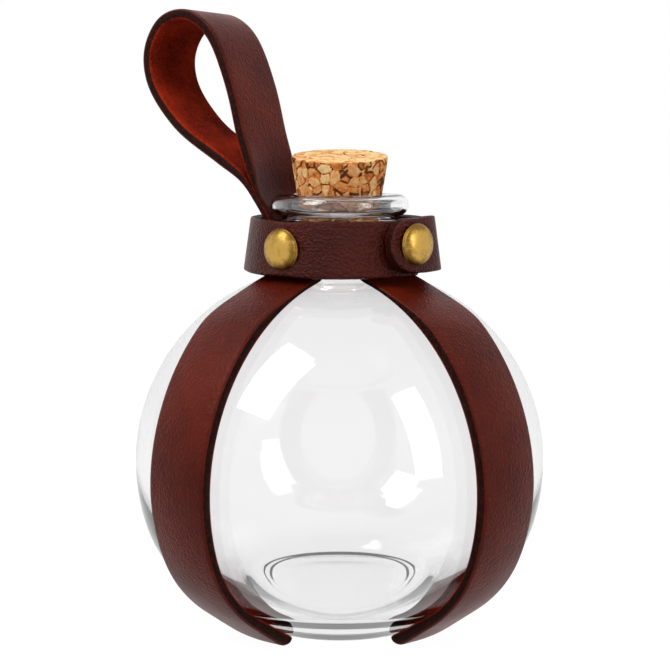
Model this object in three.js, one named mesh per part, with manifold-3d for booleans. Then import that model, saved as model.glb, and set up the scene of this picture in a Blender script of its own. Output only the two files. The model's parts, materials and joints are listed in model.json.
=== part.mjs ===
// Round glass potion bottle with a tapered cork, carried in a riveted leather belt harness.
// Millimetres, +Z up, origin on the ground under the middle of the glass base.
// Azimuths are degrees about +Z: 0 faces the front (-Y) and positive turns to the right (+X).

import * as THREE from "three";
import { mergeVertices } from "three/addons/utils/BufferGeometryUtils.js";
import ManifoldModule from "manifold-3d";

const wasm = await ManifoldModule();
wasm.setup();

// Glass body
const bodyRadius = 50;
const shoulderFlattening = 2.5;
const baseSetIn = 11.2;
const wall = 3.6;
const baseRadius = 23.5;
const undersideAngle = 35;
const heelFillet = 28;
const floorZ = 7;
const floorRadius = 20.8;

// Glass neck and mouth
const neckRadius = 13.9;
const neckFillet = 5;
const lipBeadRadius = 2.6;
const lipOverhang = 2.8;
const mouthAboveCollar = 5.9;
const mouthRound = 0.7;

// Cork
const corkRadiusAtMouth = 10.35;
const corkHalfAngle = 8.2;
const corkAboveMouth = 9.2;
const corkTopSlant = 7.5;
const corkInMouth = 9.6;
const corkChamfer = 0.6;
const corkClearance = 0.3;

// Leather
const strapWidth = 17;
const strapThickness = 3.2;
const strapThicknessOnNeck = 3.4;
const strapThicknessUnderCollarEdge = 1.1;
const pinchAbove = 5;
const pinchBelow = 2.5;
const pinchTaper = 10;
const leatherGap = 0.3;
const bendEaseWidth = 26.99;
const bendEaseNear = 2.5;
const bendEaseFar = 10;
const groundGap = 0.2;
const leftStrapAzimuth = -43.4;
const rightStrapAzimuth = 45.6;
const strapTopBelowCollarTop = 1;
const tailLength = 14.4;

// Collar and its overlapping tab
const collarHeight = 12.97;
const collarThickness = 3.1;
const collarClearance = 0.4;
const collarSeatGap = 0.27;
const collarFlare = 1.9;
const collarInnerEndAzimuth = 55;
const tabGap = 0.9;
const tabRise = 0.5;
const tabRootAzimuth = 58;
const tabTipAzimuth = 26;
const tabTipRounding = 84;
const tabSplitGap = 0.3;
const rampAngle = 25;

// Belt loop
const loopToStrapGap = 3.72;
const loopWidth = 18;
const loopThickness = 2.6;
const loopEndThickness = 0.5;
const loopEndTaper = 7;
const loopCurlLength = 21;
const loopRootGap = 0.45;
const loopRootRise = 5.3;
const tailsThickness = 3.6;
const tailsThicknessAtLip = 2.6;
const tailsThicknessAtRoot = 1.5;
const tailsFootRise = 2.5;
const tailsBendDepth = 3;
const collarBulge = 1.2;
const collarBulgeHalfAngle = 55;

// Brass rivets and press stud
const leftRivetAzimuth = -38;
const snapAzimuth = 43;
const rivetAboveCollarMiddle = 0.2;
const capRadius = 4.9;
const capHeight = 2.4;
const capRim = 0.6;
const capSink = 0.5;
const snapCapToTabEdge = 0.785;
const stemRadius = 1.6;
const stemAboveBase = 1.2;
const stemBore = 1.15;
const pinRadius = 0.9;
const rivetBaseRadius = 4.2;
const rivetBaseThickness = 0.8;
const brassClearance = 0.3;
const brassToGlassGap = 0.2;
const socketSink = 1.3;
const socketRadius = 4.8;
const socketBore = 2.7;
const socketHeight = 1.05;
const socketWeb = 0.45;
const studFlangeRadius = 3.1;
const studFlange = 0.4;
const studRadius = 1.9;
const studHeight = 0.9;

// Facets
const roundSteps = 40;
const smallRoundSteps = 18;
const acrossSteps = 6;
const bandStep = 8;
const shoulderSteps = 11;
const bodySteps = 5;
const bendSteps = 5;
const straightSteps = 6;
const lipSteps = 8;
const tipSteps = 8;
const domeSteps = 6;
const loopSteps = 40;
const tailsSteps = 14;

const rad = THREE.MathUtils.degToRad;
const { radToDeg, smoothstep, lerp } = THREE.MathUtils;

// Sizes that follow from those above
const shoulderRadius = bodyRadius - shoulderFlattening;
const shoulderCentre = shoulderFlattening;
const bodyCentreZ = bodyRadius - baseSetIn;
const neckFilletCentre = neckRadius + neckFillet;
const neckFilletReach = shoulderRadius + neckFillet;
const neckFilletRise = Math.sqrt(neckFilletReach ** 2 - (neckFilletCentre - shoulderCentre) ** 2);
const neckFilletZ = bodyCentreZ + neckFilletRise;
const collarTopInner = neckRadius + leatherGap + strapThicknessOnNeck + collarClearance;
const collarFootInner = collarTopInner + collarFlare;
const bendEase = (strapWidth / bendEaseWidth) ** 3;
const strapOuterOnShoulder = shoulderRadius + leatherGap + bendEase + strapThicknessUnderCollarEdge;
const shoulderRise = Math.sqrt(strapOuterOnShoulder ** 2 - (collarFootInner - shoulderCentre) ** 2);
const collarFootZ = bodyCentreZ + shoulderRise + collarSeatGap;
const collarTopZ = collarFootZ + collarHeight;
const mouthZ = collarTopZ + mouthAboveCollar;
const lipBeadZ = mouthZ - lipBeadRadius;
const lipBeadCentre = neckRadius + lipOverhang - lipBeadRadius;
const tailsMiddle = neckRadius + leatherGap + tailsThickness / 2;
const strapHalfAngle = radToDeg(strapWidth / 2 / neckRadius);
const loopHalfAngle = radToDeg((loopWidth / 2 + loopToStrapGap) / tailsMiddle);
const loopAzimuth = leftStrapAzimuth - strapHalfAngle - loopHalfAngle;
const corkSlope = Math.tan(rad(corkHalfAngle));
const corkTopZ = mouthZ + corkAboveMouth;
const corkFootZ = mouthZ - corkInMouth;
const boreRadius = corkRadiusAtMouth - corkInMouth * corkSlope + corkClearance;
const rivetZ = collarFootZ + collarHeight / 2 + rivetAboveCollarMiddle;
const snapLift = Math.max(0, collarHeight / 2 - capRadius - snapCapToTabEdge);
const snapZ = rivetZ + tabRise + snapLift;
const tabInnerOffset = collarThickness + tabGap;

const outward = (azimuth) => new THREE.Vector3(Math.sin(rad(azimuth)), -Math.cos(rad(azimuth)), 0);
const sideways = (azimuth) => new THREE.Vector3(Math.cos(rad(azimuth)), Math.sin(rad(azimuth)), 0);

// Profile pieces: each point holds its place (r, z) and the surface normal there (nr, nz)

function arcPoints(r, z, radius, fromDegrees, toDegrees, steps, normalSign = 1) {
  const points = [];
  for (let i = 0; i <= steps; i++) {
    const angle = rad(lerp(fromDegrees, toDegrees, i / steps));
    const nr = Math.cos(angle);
    const nz = Math.sin(angle);
    points.push({ r: r + radius * nr, z: z + radius * nz, nr: normalSign * nr, nz: normalSign * nz });
  }
  return points;
}

function linePoints(from, to, normal, steps) {
  const points = [];
  for (let i = 0; i <= steps; i++) {
    points.push({
      r: lerp(from.r, to.r, i / steps),
      z: lerp(from.z, to.z, i / steps),
      nr: normal.nr,
      nz: normal.nz,
    });
  }
  return points;
}

const degrees = (dr, dz) => radToDeg(Math.atan2(dz, dr));

// The outside of the glass from the top of the neck down to the edge of the flat base
function glassOutside() {
  const shoulderStart = degrees(neckFilletCentre - shoulderCentre, neckFilletRise);
  const filletEnd = 180 + shoulderStart;

  const slope = rad(undersideAngle);
  const heelReach = bodyRadius - heelFillet;
  const undersideReach = baseRadius * Math.sin(slope) + bodyCentreZ * Math.cos(slope);
  const heelAngle = slope + Math.acos((undersideReach - heelFillet) / heelReach);
  const heelCentre = {
    r: heelReach * Math.sin(heelAngle),
    z: bodyCentreZ - heelReach * Math.cos(heelAngle),
  };
  const heelStart = radToDeg(heelAngle) - 90;
  const heelEnd = undersideAngle - 90;

  const neck = linePoints(
    { r: neckRadius, z: lipBeadZ - lipBeadRadius },
    { r: neckRadius, z: neckFilletZ },
    { nr: 1, nz: 0 },
    straightSteps,
  );
  const fillet = arcPoints(neckFilletCentre, neckFilletZ, neckFillet, 180, filletEnd, bendSteps, -1);
  const shoulder = arcPoints(shoulderCentre, bodyCentreZ, shoulderRadius, shoulderStart, 0, shoulderSteps);
  const body = arcPoints(0, bodyCentreZ, bodyRadius, 0, heelStart, bodySteps);
  const heel = arcPoints(heelCentre.r, heelCentre.z, heelFillet, heelStart, heelEnd, bendSteps);
  const underside = linePoints(
    heel[heel.length - 1],
    { r: baseRadius, z: 0 },
    { nr: Math.sin(slope), nz: -Math.cos(slope) },
    straightSteps,
  );
  const below = [fillet, shoulder, body, heel, underside].map((piece) => piece.slice(1));
  return [...neck, ...below.flat()];
}

// The inside of the glass from the mouth down to the edge of the flat floor
function glassInside() {
  const innerShoulder = shoulderRadius - wall;
  const innerBody = bodyRadius - wall;
  const throatCosine = (boreRadius + wall / 2 - shoulderCentre) / innerShoulder;
  const throatAngle = radToDeg(Math.acos(throatCosine));
  const floorDepth = bodyCentreZ - floorZ;
  const floorSpare = innerBody ** 2 - floorDepth ** 2 - floorRadius ** 2;
  const floorFillet = floorSpare / (2 * (innerBody - floorDepth));
  const floorStart = degrees(floorRadius, floorFillet - floorDepth);

  const throat = arcPoints(shoulderCentre, bodyCentreZ, innerShoulder, throatAngle, 0, shoulderSteps);
  const body = arcPoints(0, bodyCentreZ, innerBody, 0, floorStart, bodySteps);
  const heel = arcPoints(floorRadius, floorZ + floorFillet, floorFillet, floorStart, -90, bendSteps);
  const throatZ = throat[0].z + wall / 2;
  return [
    { r: corkRadiusAtMouth + corkClearance + mouthRound, z: mouthZ },
    { r: corkRadiusAtMouth + corkClearance - mouthRound * corkSlope, z: mouthZ - mouthRound },
    { r: boreRadius, z: corkFootZ },
    { r: boreRadius, z: throatZ },
    ...throat,
    ...body.slice(1),
    ...heel.slice(1),
  ];
}

// A body of revolution about Z from a profile that starts and ends on the axis, or closes on itself
function turned(profile, steps) {
  const points = profile.map(({ r, z }) => new THREE.Vector2(r, z));
  const geometry = new THREE.LatheGeometry(points, steps);
  geometry.rotateX(Math.PI / 2);
  return facingOut(geometry);
}

// Merged vertices, no slivers, and faces turned to point out of the solid
function facingOut(source) {
  const bare = source.index ? source.clone() : mergeVertices(source);
  bare.deleteAttribute("normal");
  bare.deleteAttribute("uv");
  const geometry = mergeVertices(bare, 1e-3);
  const position = geometry.getAttribute("position");
  const corner = [new THREE.Vector3(), new THREE.Vector3(), new THREE.Vector3()];
  const faces = [];
  let volume = 0;
  const index = geometry.getIndex().array;
  for (let i = 0; i < index.length; i += 3) {
    const [a, b, c] = index.slice(i, i + 3);
    if (a === b || b === c || c === a) continue;
    faces.push(a, b, c);
    corner[0].fromBufferAttribute(position, a);
    corner[1].fromBufferAttribute(position, b);
    corner[2].fromBufferAttribute(position, c);
    volume += corner[0].dot(corner[1].cross(corner[2])) / 6;
  }
  if (volume < 0) {
    for (let i = 0; i < faces.length; i += 3) {
      [faces[i + 1], faces[i + 2]] = [faces[i + 2], faces[i + 1]];
    }
  }
  geometry.setIndex(faces);
  return geometry;
}

// A flat or bent strip: each section has matching rows of points on its two broad faces
function strip(sections) {
  const across = sections[0].outer.length;
  const positions = [];
  for (const { outer, inner } of sections) {
    for (const point of [...outer, ...inner]) positions.push(point.x, point.y, point.z);
  }
  const outerAt = (i, j) => i * across * 2 + j;
  const innerAt = (i, j) => i * across * 2 + across + j;
  const faces = [];
  const quad = (a, b, c, d) => faces.push(a, b, c, a, c, d);
  const last = sections.length - 1;
  const side = across - 1;
  for (let i = 0; i < last; i++) {
    for (let j = 0; j < side; j++) {
      quad(outerAt(i, j), outerAt(i, j + 1), outerAt(i + 1, j + 1), outerAt(i + 1, j));
      quad(innerAt(i, j), innerAt(i + 1, j), innerAt(i + 1, j + 1), innerAt(i, j + 1));
    }
    quad(outerAt(i, 0), outerAt(i + 1, 0), innerAt(i + 1, 0), innerAt(i, 0));
    quad(outerAt(i, side), innerAt(i, side), innerAt(i + 1, side), outerAt(i + 1, side));
  }
  for (let j = 0; j < side; j++) {
    quad(outerAt(0, j), innerAt(0, j), innerAt(0, j + 1), outerAt(0, j + 1));
    quad(outerAt(last, j), outerAt(last, j + 1), innerAt(last, j + 1), innerAt(last, j));
  }
  const geometry = new THREE.BufferGeometry();
  geometry.setAttribute("position", new THREE.Float32BufferAttribute(positions, 3));
  geometry.setIndex(faces);
  return facingOut(geometry);
}

// One section of leather in the upright plane at an azimuth, bent across its width by a curvature
function leatherSection(point, azimuth, width, curvature, lift, thickness) {
  const along = outward(azimuth);
  const side = sideways(azimuth);
  const normal = along.clone().multiplyScalar(point.nr).add(new THREE.Vector3(0, 0, point.nz));
  const foot = along.clone().multiplyScalar(point.r).add(new THREE.Vector3(0, 0, point.z));
  const place = (u, height) => {
    const turn = u * curvature;
    const spread = curvature > 1e-6 ? Math.sin(turn) * (1 / curvature + height) : u;
    const drop = curvature > 1e-6 ? Math.cos(turn) * (1 / curvature + height) - 1 / curvature : height;
    return foot.clone().addScaledVector(normal, drop).addScaledVector(side, spread);
  };
  const outer = [];
  const inner = [];
  for (let j = 0; j <= acrossSteps; j++) {
    const u = lerp(-width / 2, width / 2, j / acrossSteps);
    outer.push(place(u, lift + thickness));
    inner.push(place(u, lift));
  }
  return { outer, inner };
}

function solid(geometry) {
  const { array } = geometry.getAttribute("position");
  return new wasm.Manifold(
    new wasm.Mesh({
      numProp: 3,
      vertProperties: new Float32Array(array),
      triVerts: new Uint32Array(geometry.getIndex().array),
    }),
  );
}

function cut(geometry, tools) {
  let body = solid(geometry);
  for (const tool of tools) body = body.subtract(solid(tool));
  const { vertProperties, triVerts } = body.getMesh();
  const result = new THREE.BufferGeometry();
  result.setAttribute("position", new THREE.Float32BufferAttribute(vertProperties, 3));
  result.setIndex([...triVerts]);
  return result;
}

// A round tool or fitting, made along +Y, laid on a level axis that points outward at an azimuth
function pointedOut(geometry, azimuth, z) {
  geometry.rotateZ(rad(azimuth + 180));
  geometry.translate(0, 0, z);
  return geometry;
}

function drill(azimuth, z, radius, from, to) {
  const geometry = new THREE.CylinderGeometry(radius, radius, to - from, smallRoundSteps);
  geometry.translate(0, (from + to) / 2, 0);
  return facingOut(pointedOut(geometry, azimuth, z));
}

function fitting(profile, azimuth, z) {
  const points = profile.map(([r, height]) => new THREE.Vector2(r, height));
  return facingOut(pointedOut(new THREE.LatheGeometry(points, smallRoundSteps), azimuth, z));
}

// Glass and cork

function glassBottle() {
  const lip = arcPoints(lipBeadCentre, lipBeadZ, lipBeadRadius, -90, 90, lipSteps);
  return turned(
    [{ r: 0, z: 0 }, ...glassOutside().reverse(), ...lip, ...glassInside(), { r: 0, z: floorZ }],
    roundSteps,
  );
}

function corkStopper() {
  const radiusAt = (z) => corkRadiusAtMouth + (z - mouthZ) * corkSlope;
  const blankTopZ = corkTopZ + corkRadiusAtMouth / 2;
  const blank = turned(
    [
      { r: 0, z: corkFootZ },
      { r: radiusAt(corkFootZ) - corkChamfer, z: corkFootZ },
      { r: radiusAt(corkFootZ + corkChamfer), z: corkFootZ + corkChamfer },
      { r: radiusAt(blankTopZ), z: blankTopZ },
      { r: 0, z: blankTopZ },
    ],
    roundSteps,
  );
  // The top is cut aslant, lower at the front
  const waste = new THREE.BoxGeometry(bodyRadius, bodyRadius, bodyRadius);
  waste.translate(0, 0, bodyRadius / 2);
  waste.rotateX(rad(corkTopSlant));
  waste.translate(0, 0, corkTopZ);
  return cut(blank, [facingOut(waste)]);
}

// Leather straps over the glass

function strapThicknessAt(z) {
  if (z > collarFootZ) {
    const rise = smoothstep(z, collarFootZ, collarFootZ + pinchAbove);
    return lerp(strapThicknessUnderCollarEdge, strapThicknessOnNeck, rise);
  }
  const pinchFoot = collarFootZ - pinchBelow;
  const pinch = smoothstep(z, pinchFoot - pinchTaper, pinchFoot);
  return lerp(strapThickness, strapThicknessUnderCollarEdge, pinch);
}

// Leather stands a little further off the glass where it bends out from the neck, more if it is wide
function strapLiftAt(z) {
  const away = Math.abs(z - collarFootZ);
  return leatherGap + bendEase * (1 - smoothstep(away, bendEaseNear, bendEaseFar));
}

function strapOverGlass(azimuth, rivetAzimuth, rivetHeight, shankRadius) {
  const topZ = collarTopZ - strapTopBelowCollarTop;
  const outside = glassOutside();
  const tailFoot = outside.at(-1 - straightSteps).r - tailLength * Math.cos(rad(undersideAngle));
  const guide = outside.filter(({ z, r }) => z < topZ && (z > bodyCentreZ || r > tailFoot));
  guide.unshift({ r: neckRadius, z: topZ, nr: 1, nz: 0 });
  const sections = guide.map((point) =>
    leatherSection(
      point,
      azimuth,
      strapWidth,
      point.nr / point.r,
      strapLiftAt(point.z),
      strapThicknessAt(point.z),
    ),
  );
  for (const { outer } of sections) {
    for (const point of outer) point.z = Math.max(point.z, groundGap);
  }
  return cut(strip(sections), [
    drill(rivetAzimuth, rivetHeight, shankRadius + brassClearance, 0, collarFootInner),
    drill(rivetAzimuth, rivetHeight, rivetBaseRadius + brassClearance, 0, rivetBaseTop + brassClearance),
  ]);
}

// Collar band and its tab

const bulgeAt = (azimuth) => {
  const away = Math.abs(azimuth - loopAzimuth) / collarBulgeHalfAngle;
  return away < 1 ? collarBulge * Math.cos((away * Math.PI) / 2) ** 2 : 0;
};

const collarInnerAt = (z) => collarTopInner + (collarFlare * (collarTopZ - z)) / collarHeight;
const collarOuterAt = (z) => collarInnerAt(z) + collarThickness;

function bandSection(azimuth, offset, rise, footZ, topZ) {
  const place = (radius, z) => outward(azimuth).multiplyScalar(radius + offset).setZ(z + rise);
  return {
    outer: [place(collarOuterAt(footZ), footZ), place(collarOuterAt(topZ), topZ)],
    inner: [place(collarInnerAt(footZ), footZ), place(collarInnerAt(topZ), topZ)],
  };
}

function neckCollar() {
  const endAzimuth = tabRootAzimuth - 360;
  const steps = Math.round((collarInnerEndAzimuth - endAzimuth) / bandStep);
  const sections = [];
  for (let i = 0; i <= steps; i++) {
    const azimuth = lerp(collarInnerEndAzimuth, endAzimuth, i / steps);
    const ramp = 1 - smoothstep(azimuth, endAzimuth, endAzimuth + rampAngle);
    const offset = bulgeAt(azimuth) + ramp * tabInnerOffset;
    sections.push(bandSection(azimuth, offset, ramp * tabRise, collarFootZ, collarTopZ));
  }
  const beyond = collarOuterAt(collarFootZ) + collarBulge + capHeight;
  const capHole = capRadius + brassClearance;
  return cut(strip(sections), [
    drill(leftRivetAzimuth, rivetZ, stemRadius + brassClearance, neckRadius, beyond),
    drill(leftRivetAzimuth, rivetZ, capHole, leftCapSeat - brassClearance, beyond),
    drill(loopAzimuth, rivetZ, stemRadius + brassClearance, neckRadius, beyond),
    drill(loopAzimuth, rivetZ, capHole, rearCapSeat - brassClearance, beyond),
    drill(snapAzimuth, snapZ, pinRadius + brassClearance, neckRadius, studSeat),
    drill(snapAzimuth, snapZ, studFlangeRadius + brassClearance, studSeat - brassClearance, beyond),
  ]);
}

function collarTab() {
  const halfHeight = collarHeight / 2;
  const middleZ = collarFootZ + halfHeight;
  const radius = collarOuterAt(middleZ) + tabInnerOffset;
  const roundAngle = radToDeg(halfHeight / radius);
  const startAzimuth = tabRootAzimuth - radToDeg(tabSplitGap / radius);
  const roundAzimuth = tabTipAzimuth + roundAngle;
  const bandSteps = Math.round((startAzimuth - roundAzimuth) / bandStep);
  const sections = [];
  for (let i = 0; i < bandSteps; i++) {
    const azimuth = lerp(startAzimuth, roundAzimuth, i / bandSteps);
    sections.push(bandSection(azimuth, tabInnerOffset, tabRise, collarFootZ, collarTopZ));
  }
  for (let i = 0; i <= tipSteps; i++) {
    const turn = (i / tipSteps) * rad(tabTipRounding);
    const half = halfHeight * Math.cos(turn);
    const azimuth = roundAzimuth - roundAngle * Math.sin(turn);
    sections.push(bandSection(azimuth, tabInnerOffset, tabRise, middleZ - half, middleZ + half));
  }
  const within = collarInnerAt(snapZ);
  const beyond = radius + capHeight;
  return cut(strip(sections), [
    drill(snapAzimuth, snapZ, stemRadius + brassClearance, within, beyond),
    drill(snapAzimuth, snapZ, capRadius + brassClearance, snapCapSeat - brassClearance, beyond),
    drill(snapAzimuth, snapZ, socketRadius + brassClearance, within, socketBack + brassClearance),
  ]);
}

// Belt loop: one strip bent into a teardrop, with both ends side by side at its root

// The tails pass midway between the lip's bead and the collar's top edge, square to the line between
const lipToCollar = {
  r: collarTopInner + collarBulge - lipBeadCentre,
  z: collarTopZ - lipBeadZ,
};
const lipToCollarReach = Math.hypot(lipToCollar.r, lipToCollar.z);
const passing = (lipBeadRadius + lipToCollarReach) / 2 / lipToCollarReach;
const crossing = { r: lipBeadCentre + lipToCollar.r * passing, z: lipBeadZ + lipToCollar.z * passing };
const crossingHeading = { r: -lipToCollar.z / lipToCollarReach, z: lipToCollar.r / lipToCollarReach };
const loopRoot = {
  r: crossing.r + crossingHeading.r * loopRootRise,
  z: crossing.z + crossingHeading.z * loopRootRise,
};
const rootCurvature = 1 / loopRoot.r;

// Middle line of the loop's strip, outward from its root and up
const loopOutline = [
  [0.5, 0.5],
  [4.2, 4.5],
  [10.2, 8.8],
  [23, 17.4],
  [31.4, 28],
  [32.2, 36],
  [27.6, 42.8],
  [20, 44.3],
  [12.6, 40],
  [6.3, 27.6],
  [2, 11.1],
  [-0.4, 0.5],
];

function meridianCurve(points) {
  const places = points.map(([r, z]) => new THREE.Vector3(r, 0, z));
  return new THREE.CatmullRomCurve3(places, false, "centripetal");
}

function beltLoop() {
  const curve = meridianCurve(loopOutline.map(([r, z]) => [loopRoot.r + r, loopRoot.z + z]));
  const length = curve.getLength();
  const sections = [];
  for (let i = 0; i <= loopSteps; i++) {
    const share = i / loopSteps;
    const place = curve.getPointAt(share);
    const heading = curve.getTangentAt(share);
    const fromEnd = Math.min(share, 1 - share) * length;
    const grown = smoothstep(fromEnd, 0, loopEndTaper);
    const thickness = lerp(loopEndThickness, loopThickness, grown);
    const point = { r: place.x, z: place.z, nr: heading.z, nz: -heading.x };
    const curvature = (share < 0.5 ? -1 : 1) * rootCurvature * (1 - smoothstep(fromEnd, 0, loopCurlLength));
    sections.push(loopSection(point, curvature, thickness));
  }
  return strip(sections);
}

function loopSection(point, curvature, thickness) {
  const lift = -thickness / 2;
  if (curvature >= 0) return leatherSection(point, loopAzimuth, loopWidth, curvature, lift, thickness);
  const reversed = { ...point, nr: -point.nr, nz: -point.nz };
  const flipped = leatherSection(reversed, loopAzimuth, loopWidth, -curvature, lift, thickness);
  return { outer: flipped.inner, inner: flipped.outer };
}

// The loop's two ends, cemented together, from inside the collar out past the lip to the root
function beltLoopTails() {
  const reach = loopRootRise - loopRootGap;
  const curve = meridianCurve([
    [tailsMiddle, collarFootZ + tailsFootRise],
    [tailsMiddle, rivetZ],
    [tailsMiddle, collarTopZ - tailsBendDepth],
    [crossing.r, crossing.z],
    [crossing.r + crossingHeading.r * reach, crossing.z + crossingHeading.z * reach],
  ]);
  const sections = [];
  for (let i = 0; i <= tailsSteps; i++) {
    const place = curve.getPointAt(i / tailsSteps);
    const heading = curve.getTangentAt(i / tailsSteps);
    const point = { r: place.x, z: place.z, nr: heading.z, nz: -heading.x };
    const thinned = smoothstep(place.z, collarTopZ - tailsBendDepth, collarTopZ);
    const ended = smoothstep(place.z, crossing.z, loopRoot.z);
    const atLip = lerp(tailsThickness, tailsThicknessAtLip, thinned);
    const thickness = lerp(atLip, tailsThicknessAtRoot, ended);
    sections.push(leatherSection(point, loopAzimuth, loopWidth, 1 / place.x, -thickness / 2, thickness));
  }
  return cut(strip(sections), [
    drill(loopAzimuth, rivetZ, stemRadius + brassClearance, 0, collarFootInner + collarBulge),
    drill(loopAzimuth, rivetZ, rivetBaseRadius + brassClearance, 0, rivetBaseTop + brassClearance),
  ]);
}

// Brass fittings, as profiles of radius and distance from the bottle's axis

const rivetBaseDip = Math.max(0, neckFilletZ - (rivetZ - rivetBaseRadius));
const glassAtRivetBase = neckFilletCentre - Math.sqrt(neckFillet ** 2 - rivetBaseDip ** 2);
const rivetBaseFoot = Math.max(neckRadius + leatherGap, glassAtRivetBase + brassToGlassGap);
const rivetBaseTop = rivetBaseFoot + rivetBaseThickness;
const leftCapSeat = collarOuterAt(rivetZ) - capSink;
const rearCapSeat = leftCapSeat + collarBulge;
const snapCapSeat = collarOuterAt(snapZ) + tabInnerOffset - capSink;
const socketBack = collarInnerAt(snapZ) + tabInnerOffset + socketSink - brassClearance;
const studSeat = collarOuterAt(snapZ) - brassClearance;

function capProfile(seat, stemEnd) {
  const dome = [];
  for (let i = 0; i <= domeSteps; i++) {
    const turn = (i / domeSteps) * (Math.PI / 2);
    dome.push([capRadius * Math.cos(turn), seat + capRim + (capHeight - capRim) * Math.sin(turn)]);
  }
  dome[domeSteps][0] = 0;
  const boreEnd = seat - brassClearance;
  return [
    [0, boreEnd],
    [stemBore, boreEnd],
    [stemBore, stemEnd],
    [stemRadius, stemEnd],
    [stemRadius, seat],
    [capRadius, seat],
    ...dome,
  ];
}

function postProfile(pinEnd) {
  return [
    [0, rivetBaseFoot],
    [rivetBaseRadius, rivetBaseFoot],
    [rivetBaseRadius, rivetBaseTop],
    [pinRadius, rivetBaseTop],
    [pinRadius, pinEnd],
    [0, pinEnd],
  ];
}

function socketProfile() {
  const webFoot = socketBack - socketWeb;
  const open = socketBack - socketHeight;
  const hole = stemRadius + brassClearance;
  return [
    [hole, socketBack],
    [socketRadius, socketBack],
    [socketRadius, open],
    [socketBore, open],
    [socketBore, webFoot],
    [hole, webFoot],
    [hole, socketBack],
  ];
}

function studProfile() {
  const flangeTop = studSeat + studFlange;
  const knobTop = flangeTop + studHeight;
  const boreEnd = knobTop - studFlange;
  return [
    [0, boreEnd],
    [stemBore, boreEnd],
    [stemBore, studSeat],
    [studFlangeRadius, studSeat],
    [studFlangeRadius, flangeTop],
    [studRadius, flangeTop],
    [studRadius, knobTop],
    [0, knobTop],
  ];
}

const stemEnd = rivetBaseTop + stemAboveBase;
const pinEndInLeftCap = leftCapSeat - 2 * brassClearance;
const pinEndInRearCap = rearCapSeat - 2 * brassClearance;
const pinEndInStud = studSeat + studHeight - 2 * brassClearance;

// Finishes

const glass = new THREE.MeshStandardMaterial({
  color: 0xe8eef0, roughness: 0.05, metalness: 0, transparent: true, opacity: 0.35,
});
const cork = new THREE.MeshStandardMaterial({ color: 0xc99a62, roughness: 0.9, metalness: 0 });
const leather = new THREE.MeshStandardMaterial({ color: 0x50282a, roughness: 0.55, metalness: 0 });
const brass = new THREE.MeshStandardMaterial({ color: 0xc8a046, roughness: 0.3, metalness: 1 });

const potionBottle = new THREE.Group();

function add(name, geometry, material) {
  const mesh = new THREE.Mesh(geometry, material);
  mesh.name = name;
  potionBottle.add(mesh);
}

add("glass_bottle", glassBottle(), glass);
add("cork_stopper", corkStopper(), cork);
add("left_strap", strapOverGlass(leftStrapAzimuth, leftRivetAzimuth, rivetZ, stemRadius), leather);
add("right_strap", strapOverGlass(rightStrapAzimuth, snapAzimuth, snapZ, pinRadius), leather);
add("neck_collar", neckCollar(), leather);
add("collar_tab", collarTab(), leather);
add("belt_loop", beltLoop(), leather);
add("belt_loop_tails", beltLoopTails(), leather);
add("left_rivet_cap", fitting(capProfile(leftCapSeat, stemEnd), leftRivetAzimuth, rivetZ), brass);
add("left_rivet_post", fitting(postProfile(pinEndInLeftCap), leftRivetAzimuth, rivetZ), brass);
add("rear_rivet_cap", fitting(capProfile(rearCapSeat, stemEnd), loopAzimuth, rivetZ), brass);
add("rear_rivet_post", fitting(postProfile(pinEndInRearCap), loopAzimuth, rivetZ), brass);
add("snap_cap", fitting(capProfile(snapCapSeat, socketBack - socketWeb), snapAzimuth, snapZ), brass);
add("snap_socket", fitting(socketProfile(), snapAzimuth, snapZ), brass);
add("snap_stud", fitting(studProfile(), snapAzimuth, snapZ), brass);
add("snap_post", fitting(postProfile(pinEndInStud), snapAzimuth, snapZ), brass);

export default potionBottle;
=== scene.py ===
"""Round glass potion bottle with a cork stopper, carried in a riveted leather belt harness.

Metres, +Z up, the front of the bottle towards -Y. Azimuths turn about +Z: 0 is the front and
positive turns to the right.
"""

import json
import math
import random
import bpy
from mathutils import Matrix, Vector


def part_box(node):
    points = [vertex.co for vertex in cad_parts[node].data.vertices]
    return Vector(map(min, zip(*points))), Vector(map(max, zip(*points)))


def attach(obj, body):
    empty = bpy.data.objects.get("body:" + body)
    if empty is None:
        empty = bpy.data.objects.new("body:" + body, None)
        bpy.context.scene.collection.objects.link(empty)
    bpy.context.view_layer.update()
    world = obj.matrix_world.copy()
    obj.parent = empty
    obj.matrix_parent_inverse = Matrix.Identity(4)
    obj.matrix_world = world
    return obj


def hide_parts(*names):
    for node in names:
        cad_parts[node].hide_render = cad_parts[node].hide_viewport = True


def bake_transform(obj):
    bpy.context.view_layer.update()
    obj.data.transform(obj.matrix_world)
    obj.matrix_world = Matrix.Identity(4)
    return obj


bl_info = {
    "name": "Potion Bottle",
    "version": (1, 0, 0),
    "blender": (4, 5, 0),
    "location": "View3D > Sidebar > Potion Bottle",
    "description": "Models a round glass potion bottle in its leather belt harness",
    "category": "Add Mesh",
}

import bpy
from bpy.props import FloatProperty, FloatVectorProperty, PointerProperty
from mathutils import Vector, kdtree

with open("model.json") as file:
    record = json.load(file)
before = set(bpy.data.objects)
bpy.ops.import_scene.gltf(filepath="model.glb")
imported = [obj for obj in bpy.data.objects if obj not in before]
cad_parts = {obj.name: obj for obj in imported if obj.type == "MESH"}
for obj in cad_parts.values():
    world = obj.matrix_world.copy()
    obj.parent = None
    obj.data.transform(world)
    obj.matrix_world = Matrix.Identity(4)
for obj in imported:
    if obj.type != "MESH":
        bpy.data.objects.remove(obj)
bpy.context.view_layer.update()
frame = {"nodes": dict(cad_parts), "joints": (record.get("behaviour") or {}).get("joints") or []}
joints = {joint["name"]: joint for joint in frame["joints"]}

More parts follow.
